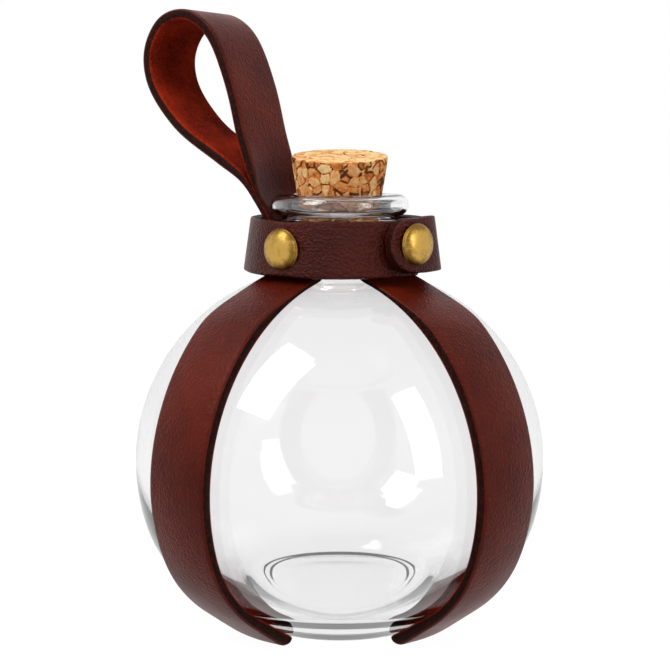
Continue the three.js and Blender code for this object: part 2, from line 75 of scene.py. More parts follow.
MM = 0.001
NEARLY = 1e-6
UP = Vector((0, 0, 1))
WHITE = (1, 1, 1, 1)
GLASS_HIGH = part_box("glass_bottle")[1]
CORK_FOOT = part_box("cork_stopper")[0].z
COLLAR_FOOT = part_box("neck_collar")[0].z
LOOP_ROOT = Vector(joints["loop_flex"]["pos_m"])

# Lines round a turned piece
BOTTLE_STEPS = 240
CAP_STEPS = 56

# Material slots of a leather piece
GRAIN_SIDE = 0
CUT_EDGE = 1
FLESH_SIDE = 2


# Settings that a user would change

def length(label, text, millimetres):
    return FloatProperty(name=label, description=text, default=millimetres * MM, unit="LENGTH", precision=4)


def angle(label, text, degrees):
    return FloatProperty(name=label, description=text, default=math.radians(degrees), subtype="ANGLE")


def factor(label, text, part):
    return FloatProperty(name=label, description=text, default=part, subtype="FACTOR", min=0, max=1)


def power(label, text, watts):
    return FloatProperty(name=label, description=text, default=watts, unit="POWER", min=0)


def colour(label, text, red, green, blue):
    return FloatVectorProperty(
        name=label, description=text, default=(red, green, blue), subtype="COLOR", size=3, min=0, max=1
    )


class GlassSizes(bpy.types.PropertyGroup):
    """Sizes of the blown glass bottle"""

    body_radius: length("Body radius", "Outside radius of the ball", GLASS_HIGH.x / MM)
    shoulder_flattening: length("Shoulder flattening", "How much tighter the shoulder is than the ball", 2.5)
    base_set_in: length("Base set in", "How far the flat base cuts into the ball", 11.2)
    wall: length("Wall", "Thickness of the ball's wall", 3.6)
    base_radius: length("Base radius", "Radius of the flat disc that it stands on", 23.5)
    underside_angle: angle("Underside angle", "Slope from the base up to the heel", 35)
    heel_fillet: length("Heel fillet", "Rounding between underside and ball", 28)
    base_round: length("Base round", "Rounding at the edge of the base", 2.6)
    base_spacing: length("Base spacing", "Least height from that rounding to the next line above it", 0.2)
    kick_radius: length("Kick radius", "Radius of the hollow pressed into the base", 20.8)
    kick_riser: length("Kick riser", "Height of each of the two steps up into the hollow", 0.45)
    kick_slope: length("Kick slope", "Width of the sloping face of each step", 1.05)
    kick_tread: length("Kick tread", "From the edge of one step to the edge of the next", 2.1)
    floor_height: length("Floor height", "Height of the inside floor", 6.2)
    floor_radius: length("Floor radius", "Radius of the flat inside floor", 19.8)
    floor_corner: length("Floor corner", "Rounding between the floor and the inside of the heel", 3.5)
    heel_rise: angle("Heel rise", "Slope of the inside of the heel next to the floor", 12)
    neck_radius: length("Neck radius", "Outside radius of the neck", 13.9)
    neck_fillet: length("Neck fillet", "Rounding between neck and shoulder", 5)
    lip_bead: length("Lip bead", "Radius of the rolled lip's section", 2.6)
    lip_air: length("Lip air", "Radius of the thread of air inside the rolled lip", 1.7)
    lip_overhang: length("Lip overhang", "How far the lip stands out from the neck", 2.8)
    mouth_height: length("Mouth height", "Height of the mouth", GLASS_HIGH.z / MM)
    throat_round: length("Throat round", "Rounding where the bore opens into the ball", 6)
    mouth_round: length("Mouth round", "Rounding inside the mouth", 0.7)
    cork_clearance: length("Cork clearance", "Gap between the bore and the cork", 0.3)


class CorkSizes(bpy.types.PropertyGroup):
    """Sizes of the cork stopper"""

    radius_at_mouth: length("Radius at mouth", "Radius where the cork meets the mouth", 10.35)
    half_angle: angle("Half angle", "Slope of the side", 8.2)
    above_mouth: length("Above mouth", "Height above the mouth, at the axis", 9.2)
    top_slant: angle("Top slant", "Slope of the top, which is lower at the front", 7.5)
    edge_round: length("Edge round", "Rounding of the top and bottom edges", 0.5)
    granule: length("Granule", "Size of the pressed granules", 2.3)
    granule_spread: factor("Granule spread", "How far the granules differ in shade", 0.9)
    granule_relief: factor("Granule relief", "Differences in level, as a share of the pit depth", 0.35)
    # Paler where the surface looks up: the sanded top, and painted light from above
    sanding_and_top_light: factor("Sanding", "How much paler the sanded top is", 0.5)
    seam_width: length("Seam width", "Width of the open seams between granules", 0.16)
    pit_depth: length("Pit depth", "Depth of the open seams between granules", 0.28)


class LeatherSizes(bpy.types.PropertyGroup):
    """Sizes of the front straps and the collar"""

    gap: length("Gap", "Gap between leather and glass", 0.3)
    ground_gap: length("Ground gap", "Height of the strap ends off the table", 0.2)
    edge_support: length("Edge rounding", "Rounding of the cut edges", 0.45)
    strap_width: length("Strap width", "Width of the two front straps", 17)
    strap_thickness: length("Strap thickness", "Thickness of the two front straps", 3.2)
    strap_top_below: length("Strap top below collar", "Strap ends this far below the collar's top", 1)
    tail_length: length("Tail length", "Length of strap under the heel", 16.2)
    pinched: length("Pinched thickness", "Thickness under the collar's lower edge", 1.1)
    pinch_from: length("Pinch from", "The strap starts to thin this far below the collar", 12.5)
    pinch_full: length("Pinch full", "The strap is pinched from this far below the collar", 2.5)
    pinch_past: length("Pinch past", "The strap is thick again this far up inside the collar", 5)
    heel_share: factor("Heel share", "Share of the thickness left over the heel", 0.72)
    heel_middle: length("Heel middle", "Height at which the strap is thinnest over the heel", 14)
    heel_end: length("Heel end", "Height from which the strap has its full thickness", 42)
    left_azimuth: angle("Left strap azimuth", "Place of the left strap", -43.4)
    right_azimuth: angle("Right strap azimuth", "Place of the right strap", 45.6)
    collar_foot: length("Collar foot", "Height of the collar's lower edge", COLLAR_FOOT / MM)
    collar_height: length("Collar height", "Height of the collar strap", 12.97)
    collar_inner: length("Collar inner radius", "Inside radius at the collar's top", 18)
    collar_flare: length("Collar flare", "How much wider the collar is at its foot", 1.9)
    collar_thickness: length("Collar thickness", "Thickness of the collar strap", 3.1)
    collar_bulge: length("Collar bulge", "Swell of the collar over the loop's ends", 1.2)
    collar_bulge_angle: angle("Collar bulge angle", "Half width of that swell", 55)
    collar_start: angle("Collar start", "Azimuth of the collar's inner end", 55)
    tab_seam: angle("Tab seam", "Azimuth where the collar goes over into its outer end", 89)
    tab_leave: angle("Tab leave", "Azimuth where the outer end leaves the collar", 83)
    tab_root: angle("Tab root", "Azimuth where the outer end is fully lifted", 58)
    tab_tip: angle("Tab tip", "Azimuth of the rounded tip", 26)
    tab_lift: length("Tab lift", "How far the outer end stands off the collar", 4)
    tab_rise: length("Tab rise", "How much higher the outer end sits", 0.5)
    tip_share: factor("Tip share", "Share of the width left at the very tip", 0.109545)


class LoopSizes(bpy.types.PropertyGroup):
    """Sizes of the belt loop"""

    width: length("Width", "Width of the strip", 18)
    thickness: length("Thickness", "Thickness of the strip", 2.6)
    end_thickness: length("End thickness", "Thickness of each skived end", 1.25)
    skive: length("Skive", "Height above the root from which the strip has its full thickness", 9)
    ends_out: length("Ends out", "Middle of the two ends, out from the gap round the neck", 1.8)
    ends_foot: length("Ends foot", "Height of the ends above the collar's lower edge", 2.5)
    ends_knee: length("Ends knee", "Height above that edge to which the ends are upright", 6)
    ends_top: length("Ends top", "The ends start to lean out this far below the collar's top", 3)
    lean_from: length("Lean from", "Foot of that lean, out from the gap round the neck", 2)
    pass_radius: length("Pass radius", "Radius at which the ends pass the collar's top", 17.74)
    pass_height: length("Pass height", "Height at which the ends pass the collar's top", 98.95)
    heart_out: length("Heart out", "Middle of the loop's eye, out from the root", 18)
    heart_up: length("Heart up", "Middle of the loop's eye, up from the root", 30)
    eye_foot: length("Eye foot", "Height above the root from which the eye is open", 8)
    curl_below: length("Curl below", "The strip is curled round the neck up to this far below the root", 2)
    curl_above: length("Curl above", "The strip is flat from this far above the root", 18)
    least_curl: length("Least curl", "Least radius of the curl", 10)


class BrassSizes(bpy.types.PropertyGroup):
    """Sizes of the rivets and the press stud"""

    above_middle: length("Above middle", "Height of the rivets above the collar's middle", 0.2)
    cap_radius: length("Cap radius", "Radius of the domed caps", 4.9)
    cap_height: length("Cap height", "Height of the domed caps", 2.4)
    cap_rim: length("Cap rim", "Height of the caps' rolled rim", 0.7)
    cap_sink: length("Cap sink", "How deep a cap presses into the leather", 0.5)
    cap_crease: angle("Cap crease", "Edges of a cap sharper than this stay sharp", 40)
    # Caps darken towards the rim: patina, and painted shade
    patina_shade_from: factor("Patina from", "Share of a cap's radius where patina begins", 0.55)
    patina_shade_full: factor("Patina full", "Share of a cap's radius where patina is full", 0.92)
    stem_radius: length("Stem radius", "Radius of the stem under a cap", 1.6)
    stem_length: length("Stem length", "Length of the stem under a cap", 1.5)
    dimple_depth: length("Dimple depth", "How far the leather is pressed in round a cap", 0.35)
    dimple_floor: length("Dimple floor", "Radius that is pressed in fully", 3.92)
    dimple_reach: length("Dimple reach", "Radius at which the leather is level again", 7.35)
    snap_lift: length("Press stud lift", "How much higher on its strap it sits than the rivets", 0.8)
    stud_seat: length("Stud seat", "From the bottle's axis to the foot of the press stud", 21.45)
    stud_bed: length("Stud bed", "Radius of the level bed under the press stud", 4.2)
    stud_bed_reach: length("Stud bed reach", "Radius at which the leather is as before", 6.72)
    stud_bed_depth: length("Stud bed depth", "Most that the bed is pressed in", 1)
    left_azimuth: angle("Left rivet azimuth", "Place of the left rivet", -38)
    snap_azimuth: angle("Press stud azimuth", "Place of the press stud", 43)


class Finishes(bpy.types.PropertyGroup):
    """Colours of the materials"""

    leather_dark: colour("Leather dark", "Darker patches of the grain side", 0.05, 0.0042, 0.0013)
    leather_light: colour("Leather light", "Lighter patches of the grain side", 0.13, 0.0125, 0.0042)
    edge_dark: colour("Edge dark", "Burnished cut edges", 0.013, 0.0026, 0.0015)
    edge_light: colour("Edge light", "Fibres showing in the cut edges", 0.09, 0.014, 0.006)
    flesh_dark: colour("Flesh dark", "Darker nap of the flesh side", 0.05, 0.0035, 0.0012)
    flesh_light: colour("Flesh light", "Lighter nap of the flesh side", 0.4, 0.03, 0.009)
    brass_dark: colour("Brass dark", "Tarnish in the brass", 0.2, 0.11, 0.02)
    brass_light: colour("Brass light", "Rubbed brass", 0.52, 0.32, 0.075)
    cork_seam: colour("Cork seam", "Open seams between granules", 0.08, 0.03, 0.01)
    cork_dark: colour("Cork dark", "Bark in the cork", 0.22, 0.08, 0.022)
    cork_mid: colour("Cork middle", "Most of the granules", 0.72, 0.21, 0.04)
    cork_light: colour("Cork light", "Palest granules", 0.96, 0.67, 0.31)
    glass_film: colour("Glass film", "What each handled surface lets through", 0.965, 0.96, 0.965)
    glass_tint: colour("Glass tint", "Colour of the light left after a long way in the glass", 0.5, 0.5, 0.5)
    glass_density: FloatProperty(
        name="Glass density", description="How much light a metre of glass takes", default=22, min=0
    )


class Studio(bpy.types.PropertyGroup):
    """Camera, floor and lights"""

    camera_distance: length("Camera distance", "Camera in front of the bottle's axis", 322.5)
    camera_height: length("Camera height", "Camera above the table", 115.7)
    camera_side: length("Camera side", "Camera to the right of the bottle's axis", -1.1)
    camera_pitch: angle("Camera pitch", "Downward tilt of the camera", 8.15)
    lens: FloatProperty(name="Lens", description="Focal length in millimetres", default=71.5, unit="CAMERA")
    ambient: factor("Ambient", "Light from all round", 0.4)
    floor_size: length("Floor size", "Side of the floor", 8000)
    floor_grey: factor("Floor grey", "How much of the lamps' light the floor sends back", 0.12)
    floor_seen: factor("Floor seen", "Brightness of the floor as it is seen", 0.96)
    floor_glow: factor("Floor glow", "Brightness of the floor as a light on the bottle", 0.3)
    softbox_distance: length("Softbox distance", "From the middle of the bottle to a softbox", 700)
    left_azimuth: angle("Left azimuth", "Left softbox, round the bottle", -56)
    left_elevation: angle("Left elevation", "Left softbox, up from level", 50)
    left_width: length("Left width", "Width of the left softbox", 240)
    left_height: length("Left height", "Height of the left softbox", 500)
    left_power: power("Left power", "Power of the left softbox", 3)
    right_azimuth: angle("Right azimuth", "Right softbox, round the bottle", 48)
    right_elevation: angle("Right elevation", "Right softbox, up from level", 22)
    right_width: length("Right width", "Width of the right softbox", 170)
    right_height: length("Right height", "Height of the right softbox", 600)
    right_power: power("Right power", "Power of the right softbox", 1.6)


# Numbers and places round the bottle

def smooth(value, low, high):
    share = min(1, max(0, (value - low) / (high - low)))
    return share * share * (3 - 2 * share)


def between(low, high, share):
    return low + (high - low) * share


def shares(steps):
    return [i / steps for i in range(steps + 1)]


def outward(azimuth):
    return Vector((math.sin(azimuth), -math.cos(azimuth), 0))


def sideways(azimuth):
    return Vector((math.cos(azimuth), math.sin(azimuth), 0))


def azimuth_of(place):
    return math.atan2(place.x, -place.y)


def upright(azimuth, r, z):
    return outward(azimuth) * r + UP * z


def reach_from(place, azimuth, height):
    """Distance of a place from the axis of a rivet"""
    return math.hypot(place.dot(sideways(azimuth)), place.z - height)


def ball_height(glass):
    """Height of the middle of the glass ball"""
    return glass.body_radius - glass.base_set_in


def lip_middle(glass):
    """Radius and height of the middle of the rolled lip"""
    return glass.neck_radius + glass.lip_overhang - glass.lip_bead, glass.mouth_height - glass.lip_bead


def collar_top(leather):
    return leather.collar_foot + leather.collar_height


def collar_surface(leather):
    """Radius of the collar's outside at half its height"""
    return leather.collar_inner + leather.collar_flare / 2 + leather.collar_thickness


def rivet_height(leather, brass):
    return leather.collar_foot + leather.collar_height / 2 + brass.above_middle


def snap_height(leather, brass):
    return rivet_height(leather, brass) + leather.tab_rise + brass.snap_lift


# Modelling by hand, one small step each

def clear_selection():
    if bpy.context.mode != "OBJECT":
        bpy.ops.object.mode_set(mode="OBJECT")
    bpy.ops.object.select_all(action="DESELECT")


def make_active(piece):
    clear_selection()
    piece.select_set(True)
    bpy.context.view_layer.objects.active = piece


def edit_all(piece):
    make_active(piece)
    bpy.ops.object.mode_set(mode="EDIT")
    bpy.ops.mesh.select_mode(type="VERT")
    bpy.ops.mesh.select_all(action="SELECT")


def edit_where(piece, wanted):
    """Opens a piece for editing with only the corners selected that pass the test"""
    make_active(piece)
    bpy.ops.object.mode_set(mode="EDIT")
    bpy.ops.mesh.select_mode(type="VERT")
    bpy.ops.mesh.select_all(action="DESELECT")
    bpy.ops.object.mode_set(mode="OBJECT")
    for corner in piece.data.vertices:
        corner.select = wanted(corner.co)
    bpy.ops.object.mode_set(mode="EDIT")


def close_edit():
    bpy.ops.object.mode_set(mode="OBJECT")


def apply_place():
    """Moves the active piece's place, turn and scale into its mesh"""
    bpy.ops.object.transform_apply(location=True, rotation=True, scale=True)


def draw_line(name, places):
    """A line of edges, drawn by extruding one corner from place to place"""
    clear_selection()
    bpy.ops.mesh.primitive_plane_add(size=MM, location=places[0])
    piece = bpy.context.object
    piece.name = name
    piece.data.name = name
    apply_place()
    edit_all(piece)
    bpy.ops.mesh.merge(type="CENTER")
    for here, there in zip(places, places[1:]):
        bpy.ops.mesh.extrude_vertices_move(TRANSFORM_OT_translate={"value": there - here})
    close_edit()
    return piece


def spin_line(piece, turn, steps):
    """Turns a line about the bottle's axis"""
    edit_all(piece)
    bpy.ops.mesh.spin(steps=steps, angle=turn, center=(0, 0, 0), axis=(0, 0, -1))
    bpy.ops.mesh.select_all(action="SELECT")
    bpy.ops.mesh.remove_doubles(threshold=NEARLY)
    close_edit()


def turn_round(name, profile, steps):
    """A solid of revolution from a profile of radius and height that starts and ends on the axis"""
    piece = draw_line(name, [Vector((r, 0, z)) for r, z in profile])
    spin_line(piece, math.tau, steps)
    edit_all(piece)
    bpy.ops.mesh.normals_make_consistent(inside=False)
    close_edit()
    return piece


def widen(piece, direction, columns):
    """Makes a line into a strip by extruding it sideways from column to column"""
    edit_all(piece)
    bpy.ops.transform.translate(value=direction * columns[0])
    for here, there in zip(columns, columns[1:]):
        bpy.ops.mesh.extrude_region_move(TRANSFORM_OT_translate={"value": direction * (there - here)})
    close_edit()


def strip_columns(width, support, count):
    """Columns across a strip, with one close to each edge so that the edge rounds tightly"""
    half = width / 2
    inner = half - support
    middle = [between(-inner, inner, share) for share in shares(count)]
    return [-half, *middle, half]


def face_grain_side(piece, outside_at):
    """Turns the sheet over if its faces look away from the grain side"""
    looking = sum(face.normal.dot(outside_at(face.center)) * face.area for face in piece.data.polygons)
    if looking < 0:
        edit_all(piece)
        bpy.ops.mesh.flip_normals()
        close_edit()


def weigh(piece, name, weight_at):
    """Makes a group of all the corners, each with the weight of its place"""
    group = piece.vertex_groups.new(name=name)
    for corner in piece.data.vertices:
        group.add([corner.index], min(1, max(0, weight_at(corner.co))), "REPLACE")
    return name


def finish_with(piece, kind, **settings):
    """Adds a modifier, sets it and applies it"""
    make_active(piece)
    modifier = piece.modifiers.new(kind.title(), kind)
    for key, value in settings.items():
        setattr(modifier, key, value)
    bpy.ops.object.modifier_apply(modifier=modifier.name)


def push_out(piece, group, distance, direction="NORMAL"):
    """Moves the corners of a group out by a distance, each by its weight"""
    finish_with(piece, "DISPLACE", strength=distance, mid_level=0, direction=direction, vertex_group=group)


def make_leather(piece, thickness, side, group=""):
    """Gives a sheet its thickness, with grain outside, dark cut edges and flesh inside"""
    for finish in leather_finishes():
        piece.data.materials.append(finish)
    finish_with(
        piece, "SOLIDIFY", thickness=thickness, offset=side, use_rim=True,
        material_offset=FLESH_SIDE, material_offset_rim=CUT_EDGE, vertex_group=group,
    )


def shade_round(piece):
    make_active(piece)
    bpy.ops.object.shade_smooth()


def round_edges(piece):
    finish_with(piece, "SUBSURF", levels=1, render_levels=1)
    shade_round(piece)


def mark_corners(piece, name, values):
    """Keeps a number for each corner, which a material can read"""
    marks = piece.data.attributes.new(name, "FLOAT", "POINT")
    marks.data.foreach_set("value", values)


def put_on(piece, body, slot, *nodes):
    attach(piece, body)
    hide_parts(*nodes)


# Node materials

def start_material(name):
    material = bpy.data.materials.new(name)
    material.use_nodes = True
    tree = material.node_tree
    return material, tree, tree.nodes["Principled BSDF"]


def fill_inputs(tree, node, values):
    """Sets a node's inputs, each to a plain value or to another node's output"""
    for key, value in values.items():
        if isinstance(value, bpy.types.NodeSocket):
            tree.links.new(value, node.inputs[key])
        else:
            node.inputs[key].default_value = value


def add_node(tree, kind, values, **settings):
    made = tree.nodes.new(kind)
    for key, value in settings.items():
        setattr(made, key, value)
    fill_inputs(tree, made, values)
    return made.outputs[0]


def object_place(tree):
    return tree.nodes.new("ShaderNodeTexCoord").outputs["Object"]


def attribute(tree, name):
    made = tree.nodes.new("ShaderNodeAttribute")
    made.attribute_name = name
    return made.outputs["Fac"]


def noise(tree, place, scale, detail, roughness):
    values = {"Vector": place, "Scale": scale, "Detail": detail, "Roughness": roughness}
    return add_node(tree, "ShaderNodeTexNoise", values)


def sum_of(tree, first, second, share):
    """The first value plus a share of the second"""
    values = {0: second, 1: share, 2: first}
    return add_node(tree, "ShaderNodeMath", values, operation="MULTIPLY_ADD")


def spread_value(tree, value, low, high, at_low, at_high):
    """Spreads what lies between low and high over another range"""
    values = {"Value": value, "From Min": low, "From Max": high, "To Min": at_low, "To Max": at_high}
    return add_node(tree, "ShaderNodeMapRange", values)


def bump(tree, height, strength, distance):
    return add_node(tree, "ShaderNodeBump", {"Height": height, "Strength": strength, "Distance": distance})


def colour_ramp(tree, value, stops):
    made = tree.nodes.new("ShaderNodeValToRGB")
    elements = made.color_ramp.elements
    while len(elements) < len(stops):
        elements.new(0.5)
    for element, (place, shade) in zip(elements, stops):
        element.position = place
        element.color = (*shade, 1)
    tree.links.new(value, made.inputs["Fac"])
    return made.outputs["Color"]


# Darker copies of colours: a scale below 1 is painted shade
def dyed(dye, *shades):
    return [[part * dye for part in shade] for shade in shades]


def leather_grain_finish(finish, name, dye=1, wax=0.09, relief=0.4):
    """Dyed grain side: blotchy reddish brown with fine pebbled pores and a waxed sheen"""
    material, tree, shader = start_material(name)
    place = object_place(tree)
    blotches = noise(tree, place, scale=55, detail=4, roughness=0.6)
    pores = noise(tree, place, scale=1600, detail=3, roughness=0.6)
    toned = sum_of(tree, blotches, pores, share=0.35)
    # A scale below 1 darkens both colours: painted shade on the collar
    dark, light = dyed(dye, finish.leather_dark, finish.leather_light)
    pebbles = add_node(tree, "ShaderNodeTexVoronoi", {"Vector": place, "Scale": 1500, "Randomness": 1})
    creases = noise(tree, place, scale=560, detail=4, roughness=0.65)
    height = sum_of(tree, pebbles, pores, share=0.8)
    height = sum_of(tree, height, creases, share=1.1)
    fill_inputs(tree, shader, {
        "Base Color": colour_ramp(tree, toned, [(0.42, dark), (0.9, light)]),
        "Roughness": spread_value(tree, toned, low=0.4, high=0.95, at_low=0.42, at_high=0.3),
        "Normal": bump(tree, height, strength=relief, distance=0.3 * MM),
        "Specular IOR Level": wax,
    })
    return material


def leather_edge_finish(finish, name):
    """Burnished cut edge: nearly black, with a few reddish fibres"""
    material, tree, shader = start_material(name)
    fibres = noise(tree, object_place(tree), scale=1300, detail=4, roughness=0.7)
    fill_inputs(tree, shader, {
        "Base Color": colour_ramp(tree, fibres, [(0.5, finish.edge_dark), (0.78, finish.edge_light)]),
        "Roughness": spread_value(tree, fibres, low=0.3, high=0.8, at_low=0.42, at_high=0.7),
        "Normal": bump(tree, fibres, strength=0.35, distance=0.3 * MM),
        "Specular IOR Level": 0.06,
    })
    return material


def leather_flesh_finish(finish, name, dye=1):
    """Flesh side: reddish suede with a short matt nap"""
    material, tree, shader = start_material(name)
    place = object_place(tree)
    patches = noise(tree, place, scale=120, detail=3, roughness=0.6)
    nap = noise(tree, place, scale=1900, detail=4, roughness=0.75)
    toned = sum_of(tree, patches, nap, share=1.5)
    toned = spread_value(tree, toned, low=0.8, high=1.7, at_low=0, at_high=1)
    # A scale below 1 darkens both colours: painted shade on the collar
    dark, light = dyed(dye, finish.flesh_dark, finish.flesh_light)
    fill_inputs(tree, shader, {
        "Base Color": colour_ramp(tree, toned, [(0.1, dark), (0.8, light)]),
        "Roughness": spread_value(tree, nap, low=0.3, high=0.7, at_low=0.8, at_high=0.95),
        "Normal": bump(tree, nap, strength=0.5, distance=0.4 * MM),
        "Specular IOR Level": 0.03,
    })
    return material


def brass_finish(finish, name):
    """Antique brass: rubbed bright on the domes and darker towards each cap's rim, from patina and painted
    shade; tarnished in patches, with fine scuffs
    """
    material, tree, shader = start_material(name)
    place = object_place(tree)
    tarnish = noise(tree, place, scale=420, detail=5, roughness=0.65)
    scuffs = noise(tree, place, scale=2600, detail=3, roughness=0.6)
    toned = sum_of(tree, tarnish, scuffs, share=0.3)
    # Darker towards each cap's rim: patina and painted shade
    toned = sum_of(tree, toned, attribute(tree, "patina"), share=-0.3)
    fill_inputs(tree, shader, {
        "Base Color": colour_ramp(tree, toned, [(0.34, finish.brass_dark), (0.64, finish.brass_light)]),
        "Roughness": spread_value(tree, toned, low=0.4, high=0.9, at_low=0.42, at_high=0.24),
        "Normal": bump(tree, scuffs, strength=0.12, distance=0.12 * MM),
        "Metallic": 1,
    })
    return material


def cork_finish(finish, name):
    """Pressed cork: granules of many browns, with pores, streaks of bark and dark open seams"""
    material, tree, shader = start_material(name)
    place = object_place(tree)
    pores = noise(tree, place, scale=1500, detail=4, roughness=0.75)
    streaks = noise(tree, place, scale=420, detail=3, roughness=0.6)
    toned = sum_of(tree, attribute(tree, "granule"), pores, share=1.45)
    toned = sum_of(tree, toned, streaks, share=0.9)
    toned = sum_of(tree, toned, attribute(tree, "seam"), share=-1.5)
    toned = spread_value(tree, toned, low=0.7, high=2.2, at_low=0, at_high=1)
    browns = [
        (0, finish.cork_seam), (0.22, finish.cork_dark), (0.5, finish.cork_mid), (0.95, finish.cork_light),
    ]
    fill_inputs(tree, shader, {
        "Base Color": colour_ramp(tree, toned, browns),
        "Roughness": 0.85,
        "Normal": bump(tree, toned, strength=0.5, distance=0.3 * MM),
        "Specular IOR Level": 0.15,
    })
    return material


def glass_finish(finish, name):
    """Clear glass with the faint waviness of blown glass, greyer where the light goes a long way in it"""
    material, tree, shader = start_material(name)
    waves = noise(tree, object_place(tree), scale=26, detail=2, roughness=0.4)
    fill_inputs(tree, shader, {
        "Base Color": (*finish.glass_film, 1),
        "Transmission Weight": 1,
        "Roughness": 0,
        "IOR": 1.5,
        "Normal": bump(tree, waves, strength=0.05, distance=0.6 * MM),
    })
    tint = {"Color": (*finish.glass_tint, 1), "Density": finish.glass_density}
    absorbed = add_node(tree, "ShaderNodeVolumeAbsorption", tint)
    fill_inputs(tree, tree.nodes["Material Output"], {"Volume": absorbed})
    return material


def stored_finish(name, make, **settings):
    """The material of that name, which is made the first time"""
    finish = bpy.context.scene.potion_finishes
    return bpy.data.materials.get(name) or make(finish, name, **settings)


def leather_finishes():
    """Grain side, cut edge and flesh side, in the order of a leather piece's slots"""
    return [
        stored_finish("leather_grain", leather_grain_finish),
        stored_finish("leather_cut_edge", leather_edge_finish),
        stored_finish("leather_flesh", leather_flesh_finish),
    ]


def dye_collar(piece):
    """Gives a piece of the collar darker copies of the leather on both sides: painted shade"""
    # The collar and its tab get darker copies of the grain and flesh finishes: painted shade, as the collar
    # sits in shade
    grain = stored_finish("collar_grain", leather_grain_finish, dye=0.6, wax=0.12, relief=0.9)
    flesh = stored_finish("collar_flesh", leather_flesh_finish, dye=0.2)
    piece.data.materials[GRAIN_SIDE] = grain
    piece.data.materials[FLESH_SIDE] = flesh


# Profiles

def arc(r, z, radius, start, end, steps):
    """Points on an arc as radius, height and the way out from its centre, with angles up from level"""
    points = []
    for share in shares(steps):
        turn = between(start, end, share)
        out_r, out_z = math.cos(turn), math.sin(turn)
        points.append((r + radius * out_r, z + radius * out_z, out_r, out_z))
    return points


def line(start, end, out, steps):
    """Points on a straight line as radius, height and the way out"""
    return [(between(start[0], end[0], s), between(start[1], end[1], s), *out) for s in shares(steps)]


def glass_outside(glass):
    """The outside of the glass from under the lip down to the edge of its base, with the way out"""
    body_z = ball_height(glass)
    shoulder = glass.body_radius - glass.shoulder_flattening
    fillet_r = glass.neck_radius + glass.neck_fillet
    reach = shoulder + glass.neck_fillet
    fillet_rise = math.sqrt(reach ** 2 - (fillet_r - glass.shoulder_flattening) ** 2)
    shoulder_start = math.atan2(fillet_rise, fillet_r - glass.shoulder_flattening)
    slope = glass.underside_angle
    heel_reach = glass.body_radius - glass.heel_fillet
    underside = glass.base_radius * math.sin(slope) + body_z * math.cos(slope)
    heel_angle = slope + math.acos((underside - glass.heel_fillet) / heel_reach)
    heel_r = heel_reach * math.sin(heel_angle)
    heel_z = body_z - heel_reach * math.cos(heel_angle)
    heel_start = heel_angle - math.pi / 2
    heel_end = slope - math.pi / 2
    neck_foot = body_z + fillet_rise
    neck_top = glass.mouth_height - 2 * glass.lip_bead

    neck = line((glass.neck_radius, neck_top), (glass.neck_radius, neck_foot), (1, 0), steps=8)
    fillet = arc(fillet_r, neck_foot, glass.neck_fillet, math.pi, math.pi + shoulder_start, steps=10)
    fillet = [(r, z, -out_r, -out_z) for r, z, out_r, out_z in fillet]
    shoulder_arc = arc(glass.shoulder_flattening, body_z, shoulder, shoulder_start, 0, steps=34)
    body = arc(0, body_z, glass.body_radius, 0, heel_start, steps=18)
    heel = arc(heel_r, heel_z, glass.heel_fillet, heel_start, heel_end, steps=8)
    cone = line(heel[-1], (glass.base_radius, 0), (math.sin(slope), -math.cos(slope)), steps=12)
    return neck + fillet[1:] + shoulder_arc[1:] + body[1:] + heel[1:] + cone[1:]


def glass_inside(glass, cork):
    """The inside of the glass from the mouth down to the floor"""
    body_z = ball_height(glass)
    shoulder = glass.body_radius - glass.shoulder_flattening - glass.wall
    body = glass.body_radius - glass.wall
    slope = math.tan(cork.half_angle)
    mouth = cork.radius_at_mouth + glass.cork_clearance
    mouth_z = glass.mouth_height - glass.mouth_round
    bore = mouth - (glass.mouth_height - CORK_FOOT) * slope
    throat_r = bore + glass.throat_round
    throat_reach = shoulder + glass.throat_round
    throat_rise = math.sqrt(throat_reach ** 2 - (throat_r - glass.shoulder_flattening) ** 2)
    throat_angle = math.atan2(throat_rise, throat_r - glass.shoulder_flattening)
    throat_z = body_z + throat_rise
    rise = glass.heel_rise
    corner_r = glass.floor_radius + glass.floor_corner * math.sin(rise)
    corner_z = glass.floor_height + glass.floor_corner * (1 - math.cos(rise))
    below = body_z - corner_z
    spare = body ** 2 - corner_r ** 2 - below ** 2
    heel_round = spare / (2 * (body - corner_r * math.sin(rise) - below * math.cos(rise)))
    heel_r = corner_r - heel_round * math.sin(rise)
    heel_z = corner_z + heel_round * math.cos(rise)
    heel_start = math.atan2(heel_z - body_z, heel_r)
    down = -math.pi / 2
    above_floor = glass.floor_height + glass.floor_corner

    edge = arc(mouth + glass.mouth_round, mouth_z, glass.mouth_round, math.pi / 2, math.pi, steps=4)
    taper = line((mouth - glass.mouth_round * slope, mouth_z), (bore, CORK_FOOT), (-1, 0), steps=6)
    straight = line((bore, CORK_FOOT), (bore, throat_z), (-1, 0), steps=4)
    throat = arc(throat_r, throat_z, glass.throat_round, math.pi, math.pi + throat_angle, steps=12)
    shoulder_arc = arc(glass.shoulder_flattening, body_z, shoulder, throat_angle, 0, steps=34)
    wall = arc(0, body_z, body, 0, heel_start, steps=4)
    heel = arc(heel_r, heel_z, heel_round, heel_start, rise + down, steps=30)
    corner = arc(glass.floor_radius, above_floor, glass.floor_corner, rise + down, down, steps=8)
    floor = line(corner[-1], (0, glass.floor_height), (0, 1), steps=12)
    upper = edge + taper + straight[1:] + throat[1:] + shoulder_arc[1:]
    return upper + wall[1:] + heel[1:] + corner[1:] + floor[1:]


